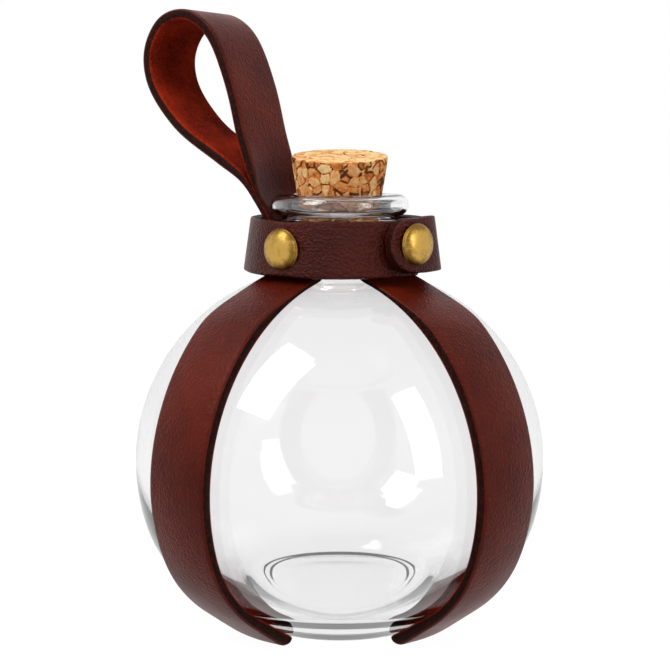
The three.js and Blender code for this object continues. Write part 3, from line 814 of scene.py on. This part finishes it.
def catmull_rom(points, steps):
    """Places along a smooth curve through the points, with steps from each to the next"""
    ends = [points[0] * 2 - points[1], *points, points[-1] * 2 - points[-2]]
    places = []
    for a, b, c, d in zip(ends, ends[1:], ends[2:], ends[3:]):
        knots = [0]
        for here, there in ((a, b), (b, c), (c, d)):
            knots.append(knots[-1] + math.sqrt((there - here).length))
        for share in shares(steps)[:-1]:
            t = between(knots[1], knots[2], share)
            level = [a, b, c, d]
            for depth in (1, 2):
                level = [
                    level[j].lerp(level[j + 1], (t - knots[j]) / (knots[j + depth] - knots[j]))
                    for j in range(len(level) - 1)
                ]
            places.append(level[0].lerp(level[1], share))
    places.append(points[-1].copy())
    return places


# Operators, one for each piece or group of like pieces

class POTION_OT_stage(bpy.types.Operator):
    """Set up the pale floor, the soft lights and the camera"""

    bl_idname = "potion.stage"
    bl_label = "Stage"

    def execute(self, context):
        studio = context.scene.potion_studio
        self.add_floor(studio)
        self.light_world(context.scene, studio)
        for side in ("left", "right"):
            self.add_softbox(studio, side)
        self.add_camera(context.scene, studio)
        context.scene.view_settings.view_transform = "Standard"
        return {"FINISHED"}

    def seen_rays(self, tree, seen, other):
        """A strength: seen for the camera and for what shows in glass and gloss, other for the rest"""
        path = tree.nodes.new("ShaderNodeLightPath")
        rays = path.outputs["Is Camera Ray"]
        for name in ("Is Glossy Ray", "Is Transmission Ray"):
            rays = add_node(tree, "ShaderNodeMath", {0: rays, 1: path.outputs[name]}, operation="MAXIMUM")
        return spread_value(tree, rays, low=0, high=1, at_low=other, at_high=seen)

    def add_floor(self, studio):
        clear_selection()
        bpy.ops.mesh.primitive_plane_add(size=studio.floor_size, location=(0, 0, 0))
        floor = bpy.context.object
        floor.name = "floor"
        edit_all(floor)
        bpy.ops.mesh.subdivide(number_cuts=8)
        close_edit()
        material, tree, shader = start_material("pale_floor")
        grey = studio.floor_grey
        fill_inputs(tree, shader, {
            "Base Color": (grey, grey, grey, 1),
            "Roughness": 1,
            "Specular IOR Level": 0,
            "Emission Color": WHITE,
            "Emission Strength": self.seen_rays(tree, studio.floor_seen, studio.floor_glow),
        })
        floor.data.materials.append(material)

    def light_world(self, scene, studio):
        world = bpy.data.worlds.new("studio")
        world.use_nodes = True
        tree = world.node_tree
        strength = self.seen_rays(tree, 1, studio.ambient)
        fill_inputs(tree, tree.nodes["Background"], {"Color": WHITE, "Strength": strength})
        scene.world = world

    def add_softbox(self, studio, side):
        """A softbox that faces the middle of the bottle"""
        azimuth = getattr(studio, side + "_azimuth")
        elevation = getattr(studio, side + "_elevation")
        clear_selection()
        middle = UP * GLASS_HIGH.z / 2
        way = outward(azimuth) * math.cos(elevation) + UP * math.sin(elevation)
        bpy.ops.object.light_add(type="AREA", location=middle + way * studio.softbox_distance)
        lamp = bpy.context.object
        lamp.name = side + "_softbox"
        lamp.rotation_euler = way.to_track_quat("Z", "Y").to_euler()
        lamp.data.shape = "RECTANGLE"
        lamp.data.size = getattr(studio, side + "_width")
        lamp.data.size_y = getattr(studio, side + "_height")
        lamp.data.energy = getattr(studio, side + "_power")

    def add_camera(self, scene, studio):
        clear_selection()
        place = (studio.camera_side, -studio.camera_distance, studio.camera_height)
        bpy.ops.object.camera_add(location=place, rotation=(math.pi / 2 - studio.camera_pitch, 0, 0))
        camera = bpy.context.object
        camera.data.sensor_width = 36
        camera.data.lens = studio.lens
        camera.data.clip_start = 0.01
        camera.data.dof.use_dof = False
        scene.camera = camera


class POTION_OT_glass_bottle(bpy.types.Operator):
    """Turn the clear glass bottle with its thick base and rolled lip"""

    bl_idname = "potion.glass_bottle"
    bl_label = "Glass Bottle"

    def execute(self, context):
        glass = context.scene.potion_glass
        base = self.base(glass)
        above = base[-1][1] + glass.base_spacing
        outside = [point[:2] for point in reversed(glass_outside(glass)) if point[1] > above]
        lip = arc(*lip_middle(glass), glass.lip_bead, -math.pi / 2, math.pi / 2, steps=16)
        inside = glass_inside(glass, context.scene.potion_cork)
        profile = base + outside + [point[:2] for point in lip + inside]
        piece = turn_round("bottle_glass", profile, BOTTLE_STEPS)
        self.roll_lip(piece, glass)
        piece.data.materials.append(stored_finish("clear_glass", glass_finish))
        shade_round(piece)
        put_on(piece, "bottle", "glass", "glass_bottle")
        return {"FINISHED"}

    def base(self, glass):
        """Under the base: the stepped hollow, the ring that it stands on and its rounded edge"""
        hollow = [(0, 2 * glass.kick_riser)]
        for step in (1, 0):
            edge = glass.kick_radius - step * glass.kick_tread
            for share in shares(8):
                rise = glass.kick_riser * (step + 1 - smooth(share, 0, 1))
                hollow.append((edge - glass.kick_slope * (1 - share), rise))
        slope = glass.underside_angle
        ring = glass.base_radius - glass.base_round
        tip = (glass.base_radius + glass.base_round * math.cos(slope), glass.base_round * math.sin(slope))
        rounded = []
        for share in shares(8):
            level_r = between(ring, glass.base_radius, share)
            rising_r = between(glass.base_radius, tip[0], share)
            rising_z = between(0, tip[1], share)
            rounded.append((between(level_r, rising_r, share), between(0, rising_z, share)))
        return hollow + rounded

    def roll_lip(self, piece, glass):
        """Leaves a thread of air in the middle of the rolled lip"""
        lip_r, lip_z = lip_middle(glass)
        clear_selection()
        bpy.ops.mesh.primitive_torus_add(
            major_segments=BOTTLE_STEPS, minor_segments=24,
            major_radius=lip_r, minor_radius=glass.lip_air, location=(0, 0, lip_z),
        )
        air = bpy.context.object
        apply_place()
        edit_all(air)
        bpy.ops.mesh.flip_normals()
        close_edit()
        make_active(piece)
        air.select_set(True)
        bpy.ops.object.join()


class POTION_OT_cork_stopper(bpy.types.Operator):
    """Turn the tapered cork, cut its top aslant and open the seams between its granules"""

    bl_idname = "potion.cork_stopper"
    bl_label = "Cork Stopper"

    granule_seed = 11
    # Granules counted out from the axis, which fill more than the cork
    granules_out = 8
    # A seam's chance below which it stays shut, and above which it stands fully open
    shut_below = 0.15
    open_above = 0.8
    # How far the surface looks up where the paler top begins, and where it is fully paler: the sanded top,
    # with painted light from above
    pale_top_from = 0.6
    pale_top_full = 0.95

    def execute(self, context):
        cork = context.scene.potion_cork
        mouth = context.scene.potion_glass.mouth_height
        piece = turn_round("cork", self.profile(cork, mouth), BOTTLE_STEPS)
        self.slant_top(piece, cork, mouth)
        seams = self.press_granules(piece, cork)
        push_out(piece, seams, -cork.pit_depth)
        piece.data.materials.append(stored_finish("pressed_cork", cork_finish))
        shade_round(piece)
        put_on(piece, "cork", "cork", "cork_stopper")
        return {"FINISHED"}

    def radius(self, cork, mouth, z):
        return cork.radius_at_mouth + (z - mouth) * math.tan(cork.half_angle)

    def profile(self, cork, mouth):
        top_z = mouth + cork.above_mouth
        rounding = cork.edge_round
        foot = self.radius(cork, mouth, CORK_FOOT) - rounding
        top = self.radius(cork, mouth, top_z) - rounding
        foot_edge = arc(foot, CORK_FOOT + rounding, rounding, -math.pi / 2, -cork.half_angle, steps=4)
        top_edge = arc(top, top_z - rounding, rounding, -cork.half_angle, math.pi / 2, steps=4)
        side = line(foot_edge[-1], top_edge[0], (1, 0), steps=68)
        foot_face = [(foot * share, CORK_FOOT) for share in shares(22)[:-1]]
        top_face = [(top * share, top_z) for share in reversed(shares(34)[:-1])]
        return foot_face + [point[:2] for point in foot_edge + side[1:] + top_edge[1:]] + top_face

    def slant_top(self, piece, cork, mouth):
        """Slopes the part above the mouth, more towards the top, and keeps its taper"""
        rise = math.tan(cork.top_slant)
        for corner in piece.data.vertices:
            place = corner.co
            share = max(0, (place.z - mouth) / cork.above_mouth)
            slanted = place.z + place.y * rise * share
            grown = self.radius(cork, mouth, slanted) / self.radius(cork, mouth, place.z)
            corner.co = (place.x * grown, place.y * grown, slanted)

    def press_granules(self, piece, cork):
        """Gives each granule its own shade and level, and finds the seams that stand open"""
        draw = random.Random(self.granule_seed)
        reach = self.granules_out
        seeds = []
        for i in range(-reach, reach + 1):
            for j in range(-reach, reach + 1):
                for k in range(-1, 2 * reach):
                    jitter = Vector((draw.random(), draw.random(), draw.random()))
                    seeds.append((Vector((i, j, k)) + jitter) * cork.granule + UP * CORK_FOOT)
        shades = [draw.random() for seed in seeds]
        levels = [draw.random() for seed in seeds]
        granules = kdtree.KDTree(len(seeds))
        for index, seed in enumerate(seeds):
            granules.insert(seed, index)
        granules.balance()

        granule_shades = []
        seam_gaps = []
        depth = piece.vertex_groups.new(name="seams")
        for corner in piece.data.vertices:
            (_, first, near), (_, second, far) = granules.find_n(corner.co, 2)
            chance = (shades[first] + shades[second] + levels[first] * levels[second]) % 1
            gap = 1 - smooth(far - near, 0, 2 * cork.seam_width)
            gap *= smooth(chance, self.shut_below, self.open_above)
            # Paler where the surface looks up: the sanded top, and painted light from above
            sanded_and_lit = cork.sanding_and_top_light * smooth(corner.normal.z, self.pale_top_from, self.pale_top_full)
            granule_shades.append(cork.granule_spread * shades[first] + sanded_and_lit)
            seam_gaps.append(gap)
            depth.add([corner.index], min(1, gap + cork.granule_relief * levels[first]), "REPLACE")
        mark_corners(piece, "granule", granule_shades)
        mark_corners(piece, "seam", seam_gaps)
        return depth.name


class POTION_OT_front_straps(bpy.types.Operator):
    """Lay the two leather straps down over the glass and under its heel"""

    bl_idname = "potion.front_straps"
    bl_label = "Front Straps"

    def execute(self, context):
        leather = context.scene.potion_leather
        glass = context.scene.potion_glass
        for name, azimuth in (("left", leather.left_azimuth), ("right", leather.right_azimuth)):
            self.lay_strap(name + "_strap_leather", azimuth, leather, glass, name + "_strap")
        return {"FINISHED"}

    def guide(self, leather, glass):
        """The strap's line down the glass, from inside the collar to its end under the heel"""
        outside = glass_outside(glass)
        top = collar_top(leather) - leather.strap_top_below
        slope = glass.underside_angle
        cone = [point for point in outside if abs(point[2] - math.sin(slope)) < NEARLY and point[3] < 0]
        tail_foot = cone[0][0] - leather.tail_length * math.cos(slope)
        middle = ball_height(glass)
        kept = [point for point in outside if point[1] < top and (point[1] > middle or point[0] > tail_foot)]
        return [(glass.neck_radius, top, 1, 0), *kept]

    def lay_strap(self, name, azimuth, leather, glass, node):
        guide = self.guide(leather, glass)
        places = [upright(azimuth, r + leather.gap * a, z + leather.gap * b) for r, z, a, b in guide]
        piece = draw_line(name, places)
        widen(piece, sideways(azimuth), strip_columns(leather.strap_width, leather.edge_support, count=10))
        middle = UP * ball_height(glass)
        face_grain_side(piece, lambda place: place - middle)
        finish_with(
            piece, "SHRINKWRAP", target=bpy.data.objects["bottle_glass"],
            wrap_method="NEAREST_SURFACEPOINT", wrap_mode="ABOVE_SURFACE", offset=leather.gap,
        )
        foot = leather.collar_foot

        def thickness_at(place):
            pinch = smooth(place.z, foot - leather.pinch_from, foot - leather.pinch_full)
            pinch *= 1 - smooth(place.z, foot, foot + leather.pinch_past)
            pulled = smooth(place.z, 0, leather.heel_middle)
            pulled *= 1 - smooth(place.z, leather.heel_middle, leather.heel_end)
            eased = between(1, leather.heel_share, pulled)
            return between(eased, leather.pinched / leather.strap_thickness, pinch)

        make_leather(piece, leather.strap_thickness, 1, weigh(piece, "thickness", thickness_at))
        self.flatten_tail(piece, leather.ground_gap)
        round_edges(piece)
        put_on(piece, "bottle", "leather", node)

    def flatten_tail(self, piece, ground):
        """Presses what would reach below the table up to a level face"""
        edit_where(piece, lambda place: place.z < ground)
        bpy.ops.transform.resize(value=(1, 1, 0), center_override=(0, 0, ground))
        close_edit()


class POTION_OT_neck_collar(bpy.types.Operator):
    """Wrap the collar strap round the neck and lap its rounded end over itself"""

    bl_idname = "potion.neck_collar"
    bl_label = "Neck Collar"

    # Degrees from column to column, and from a column's azimuth to what still belongs to it
    collar_step = 3
    tab_step = 1.5
    column_reach = 0.4

    def execute(self, context):
        leather = context.scene.potion_leather
        brass = context.scene.potion_brass
        seam = leather.tab_seam
        far_end = seam - math.tau
        collar = self.band("collar_leather", leather, leather.collar_start, far_end, self.collar_step)
        self.swell(collar, leather)
        self.dimple(collar, brass, brass.left_azimuth, rivet_height(leather, brass))
        self.bed_stud(collar, leather, brass)
        self.cut_from_hide(collar, leather, seam)
        put_on(collar, "bottle", "leather", "neck_collar")

        tab = self.band("collar_tab_leather", leather, seam, leather.tab_tip, self.tab_step)
        self.lift_end(tab, leather)
        self.round_tip(tab, leather)
        self.dimple(tab, brass, brass.snap_azimuth, snap_height(leather, brass))
        self.cut_from_hide(tab, leather, seam)
        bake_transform(tab)
        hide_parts("collar_tab")
        return {"FINISHED"}

    def band(self, name, leather, start, end, step):
        """A flared band spun from one azimuth to another, in steps of some degrees"""
        height = leather.collar_height
        support = leather.edge_support
        levels = [0, support, *[height * share for share in shares(6)[1:-1]], height - support, height]
        places = []
        for level in levels:
            r = leather.collar_inner + leather.collar_flare * (1 - level / height)
            places.append(upright(start, r, leather.collar_foot + level))
        piece = draw_line(name, places)
        spin_line(piece, end - start, round(abs(math.degrees(end - start)) / step))
        face_grain_side(piece, lambda place: Vector((place.x, place.y, 0)))
        return piece

    def cut_from_hide(self, piece, leather, seam):
        """Makes a band of leather darkened with painted shade, square at the seam so that the strap's two
        pieces meet closely
        """
        make_leather(piece, leather.collar_thickness, 1)
        dye_collar(piece)
        edit_where(piece, lambda place: abs(math.degrees(azimuth_of(place) - seam)) < self.column_reach)
        bpy.ops.transform.edge_crease(value=1)
        close_edit()
        round_edges(piece)

    def swell(self, piece, leather):
        """Swells the collar over the belt loop's ends"""
        middle = azimuth_of(LOOP_ROOT)

        def swell_at(place):
            away = (azimuth_of(place) - middle + math.pi) % math.tau - math.pi
            share = abs(away) / leather.collar_bulge_angle
            return math.cos(min(1, share) * math.pi / 2) ** 2

        push_out(piece, weigh(piece, "swell", swell_at), leather.collar_bulge)

    def lift_end(self, piece, leather):
        """Lifts the lapped end off the collar, up a short ramp"""
        def lift_at(place):
            return 1 - smooth(azimuth_of(place), leather.tab_root, leather.tab_leave)

        lifted = weigh(piece, "lift", lift_at)
        push_out(piece, lifted, leather.tab_lift)
        push_out(piece, lifted, leather.tab_rise, direction="Z")

    def round_tip(self, piece, leather):
        """Draws each column of the tip in towards the middle of the strap"""
        reach = leather.collar_height / 2 / (collar_surface(leather) + leather.tab_lift)
        columns = {}
        for corner in piece.data.vertices:
            columns.setdefault(round(math.degrees(azimuth_of(corner.co)), 1), []).append(corner.co.copy())
        for degrees, places in sorted(columns.items()):
            past = (leather.tab_tip + reach - math.radians(degrees)) / reach
            if past <= 0:
                continue
            share = max(leather.tip_share, math.sqrt(max(0, 1 - past * past)))
            centre = sum(places, Vector()) / len(places)
            edit_where(
                piece, lambda place: abs(math.degrees(azimuth_of(place)) - degrees) < self.column_reach
            )
            bpy.ops.transform.resize(value=(share, share, share), center_override=centre)
            close_edit()

    def dimple(self, piece, brass, azimuth, height):
        """Presses the leather in a little round a cap"""
        def press_at(place):
            if place.dot(outward(azimuth)) < 0:
                return 0
            reach = reach_from(place, azimuth, height)
            return 1 - smooth(reach, brass.dimple_floor, brass.dimple_reach)

        push_out(piece, weigh(piece, "dimple", press_at), -brass.dimple_depth)

    def bed_stud(self, piece, leather, brass):
        """Presses a level bed for the foot of the press stud into the flared collar"""
        height = snap_height(leather, brass)
        along = outward(brass.snap_azimuth)

        def press_at(place):
            proud = place.dot(along) + leather.collar_thickness - brass.stud_seat
            reach = reach_from(place, brass.snap_azimuth, height)
            return proud / brass.stud_bed_depth * (1 - smooth(reach, brass.stud_bed, brass.stud_bed_reach))

        push_out(piece, weigh(piece, "bed", press_at), -brass.stud_bed_depth)


class POTION_OT_belt_loop(bpy.types.Operator):
    """Bend the belt loop's strip into a teardrop with both ends tucked in the collar"""

    bl_idname = "potion.belt_loop"
    bl_label = "Belt Loop"

    # Middle line of the strip from the loop's root, outward and up, in millimetres
    outline = (
        (4.2, 4.5), (10.2, 8.8), (23, 17.4), (31.4, 28), (32.2, 36), (27.6, 42.8),
        (20, 44.3), (12.6, 40), (6.3, 27.6), (2, 11.1),
    )

    def execute(self, context):
        loop = context.scene.potion_loop
        leather = context.scene.potion_leather
        neck_gap = context.scene.potion_glass.neck_radius + leather.gap
        azimuth = azimuth_of(LOOP_ROOT)
        root_r = Vector((LOOP_ROOT.x, LOOP_ROOT.y)).length
        way = self.heading(loop, leather, neck_gap, root_r)
        path = self.path(loop, leather, neck_gap, root_r, way)
        piece = draw_line("belt_loop_leather", [upright(azimuth, place.x, place.z) for place in path])
        widen(piece, sideways(azimuth), strip_columns(loop.width, leather.edge_support, count=8))
        heart = upright(azimuth, root_r + loop.heart_out, LOOP_ROOT.z + loop.heart_up)
        eye_foot = LOOP_ROOT.z + loop.eye_foot
        face_grain_side(piece, lambda place: place - heart if place.z > eye_foot else Vector())
        self.curl_ends(piece, loop, azimuth, root_r)

        def thickness_at(place):
            grown = smooth(place.z, LOOP_ROOT.z, LOOP_ROOT.z + loop.skive)
            return between(loop.end_thickness / loop.thickness, 1, grown)

        make_leather(piece, loop.thickness, 0, weigh(piece, "thickness", thickness_at))
        round_edges(piece)
        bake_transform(piece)
        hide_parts("belt_loop", "belt_loop_tails")
        return {"FINISHED"}

    def heading(self, loop, leather, neck_gap, root_r):
        """The way that both ends leave the gap between collar and lip"""
        lean_foot = Vector((neck_gap + loop.lean_from, 0, collar_top(leather) - loop.ends_top))
        return (Vector((root_r, 0, LOOP_ROOT.z)) - lean_foot).normalized()

    def path(self, loop, leather, neck_gap, root_r, way):
        """The strip's middle line: up one end, round the loop and down the other end"""
        root = Vector((root_r, 0, LOOP_ROOT.z))
        foot = leather.collar_foot
        heights = (foot + loop.ends_foot, foot + loop.ends_knee, collar_top(leather) - loop.ends_top)
        upright_part = [Vector((neck_gap + loop.ends_out, 0, height)) for height in heights]
        leaning_part = [Vector((loop.pass_radius, 0, loop.pass_height)), root]
        aside = Vector((loop.end_thickness / 2, 0, 0))
        across = way.cross(Vector((0, -1, 0))) * loop.end_thickness / 2
        outer = [place + aside for place in upright_part] + [place + across for place in leaning_part]
        inner = [place - aside for place in upright_part] + [place - across for place in leaning_part]
        teardrop = [root + Vector((r, 0, z)) * MM for r, z in self.outline]
        return catmull_rom(outer + teardrop + inner[::-1], steps=6)

    def curl_ends(self, piece, loop, azimuth, root_r):
        """Curls the strip's ends across their width to lie round the neck"""
        along = outward(azimuth)
        for corner in piece.data.vertices:
            across = corner.co.dot(sideways(azimuth))
            radius = min(max(corner.co.dot(along), loop.least_curl), root_r)
            curl = 1 - smooth(corner.co.z, LOOP_ROOT.z - loop.curl_below, LOOP_ROOT.z + loop.curl_above)
            sag = radius - math.sqrt(max(radius ** 2 - across ** 2, 0))
            corner.co -= along * sag * curl


class POTION_OT_brass_fittings(bpy.types.Operator):
    """Turn the domed brass caps and finish the rivet posts and press stud"""

    bl_idname = "potion.brass_fittings"
    bl_label = "Brass Fittings"

    def execute(self, context):
        leather = context.scene.potion_leather
        brass = context.scene.potion_brass
        surface = collar_surface(leather)
        rivet_z = rivet_height(leather, brass)
        snap_z = snap_height(leather, brass)
        caps = (
            ("left_rivet_cap", brass.left_azimuth, surface, rivet_z, "bottle"),
            ("rear_rivet_cap", azimuth_of(LOOP_ROOT), surface + leather.collar_bulge, rivet_z, "bottle"),
            ("snap_cap", brass.snap_azimuth, surface + leather.tab_lift, snap_z, "tab"),
        )
        for node, azimuth, seat, height, body in caps:
            cap = self.cap(node.replace("_cap", "_dome"), brass)
            cap.rotation_euler = (math.pi / 2, 0, azimuth)
            cap.location = upright(azimuth, seat - brass.cap_sink, height)
            make_active(cap)
            apply_place()
            put_on(cap, body, "brass", node)
        for node in ("left_rivet_post", "rear_rivet_post", "snap_post", "snap_stud", "snap_socket"):
            fitting = frame["nodes"][node]
            fitting.data.materials.clear()
            fitting.data.materials.append(stored_finish("antique_brass", brass_finish))
        return {"FINISHED"}

    def cap(self, name, brass):
        """A domed cap with a rolled rim and a short stem"""
        rim = brass.cap_rim / 2
        roll = arc(brass.cap_radius - rim, rim, rim, -math.pi / 2, math.pi / 3, steps=8)
        roll = [point[:2] for point in roll]
        foot_r, foot_z = roll[-1]
        dome = []
        for share in shares(18)[1:-1]:
            turn = math.pi / 2 * share
            dome.append((foot_r * math.cos(turn), between(foot_z, brass.cap_height, math.sin(turn))))
        dome.append((0, brass.cap_height))
        stem = [(0, -brass.stem_length), (brass.stem_radius, -brass.stem_length), (brass.stem_radius, 0)]
        piece = turn_round(name, stem + roll + dome, CAP_STEPS)
        self.darken_rim_patina_and_shade(piece, brass)
        piece.data.materials.append(stored_finish("antique_brass", brass_finish))
        make_active(piece)
        bpy.ops.object.shade_smooth_by_angle(angle=brass.cap_crease)
        return piece

    def darken_rim_patina_and_shade(self, piece, brass):
        """Marks patina and painted shade, both more towards the rim"""
        patina = []
        for corner in piece.data.vertices:
            reach = math.hypot(corner.co.x, corner.co.y) / brass.cap_radius
            patina.append(smooth(reach, brass.patina_shade_from, brass.patina_shade_full))
        mark_corners(piece, "patina", patina)


class POTION_PT_panel(bpy.types.Panel):
    """Lists the pieces of the potion bottle"""

    bl_idname = "POTION_PT_panel"
    bl_label = "Potion Bottle"
    bl_space_type = "VIEW_3D"
    bl_region_type = "UI"
    bl_category = "Potion Bottle"

    def draw(self, context):
        for operator in OPERATORS:
            self.layout.operator(operator.bl_idname)


OPERATORS = (
    POTION_OT_stage,
    POTION_OT_glass_bottle,
    POTION_OT_cork_stopper,
    POTION_OT_front_straps,
    POTION_OT_neck_collar,
    POTION_OT_belt_loop,
    POTION_OT_brass_fittings,
)
SETTINGS = {
    "potion_glass": GlassSizes,
    "potion_cork": CorkSizes,
    "potion_leather": LeatherSizes,
    "potion_loop": LoopSizes,
    "potion_brass": BrassSizes,
    "potion_finishes": Finishes,
    "potion_studio": Studio,
}


def register():
    for group in SETTINGS.values():
        bpy.utils.register_class(group)
    for name, group in SETTINGS.items():
        setattr(bpy.types.Scene, name, PointerProperty(type=group))
    for operator in OPERATORS:
        bpy.utils.register_class(operator)
    bpy.utils.register_class(POTION_PT_panel)


def unregister():
    bpy.utils.unregister_class(POTION_PT_panel)
    for operator in reversed(OPERATORS):
        bpy.utils.unregister_class(operator)
    for name, group in SETTINGS.items():
        delattr(bpy.types.Scene, name)
        bpy.utils.unregister_class(group)


def main():
    register()
    bpy.ops.potion.stage()
    bpy.ops.potion.glass_bottle()
    bpy.ops.potion.cork_stopper()
    bpy.ops.potion.front_straps()
    bpy.ops.potion.neck_collar()
    bpy.ops.potion.belt_loop()
    bpy.ops.potion.brass_fittings()


if __name__ == "__main__":
    main()
